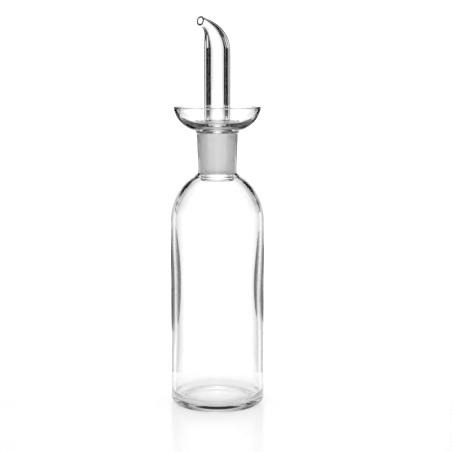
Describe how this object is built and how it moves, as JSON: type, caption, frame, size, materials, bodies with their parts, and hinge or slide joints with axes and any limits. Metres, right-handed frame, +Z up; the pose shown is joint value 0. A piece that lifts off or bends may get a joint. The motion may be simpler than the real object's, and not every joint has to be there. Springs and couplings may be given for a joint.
{
  "type": "glass oil bottle",
  "caption": "Tall clear glass table cruet for oil, with a domed shoulder, a ground-glass neck and a lift-out glass pourer that has a drip-catching saucer and a bent spout.",
  "frame": {"origin": "centre of the base, on the plane that the bottle stands on", "axes": "+Z up along the bottle's axis; the spout pours towards -Y; +X is to the right of someone whom the spout points at"},
  "size_m": [0.06, 0.06, 0.2476],
  "materials": {
    "clear_glass": "clear, fire-polished borosilicate glass",
    "ground_glass": "frosted, ground with fine grit"
  },
  "bodies": {
    "bottle": {"bottle_body": "clear_glass", "neck_socket": "ground_glass"},
    "pourer": {"ground_cone": "ground_glass", "drip_cup": "clear_glass", "spout_tube": "clear_glass"}
  },
  "joints": [
    {"name": "pourer_lift", "type": "slide", "parent": "bottle", "child": "pourer", "axis": [0, 0, 1], "range_m": [0, 0.035]}
  ]
}
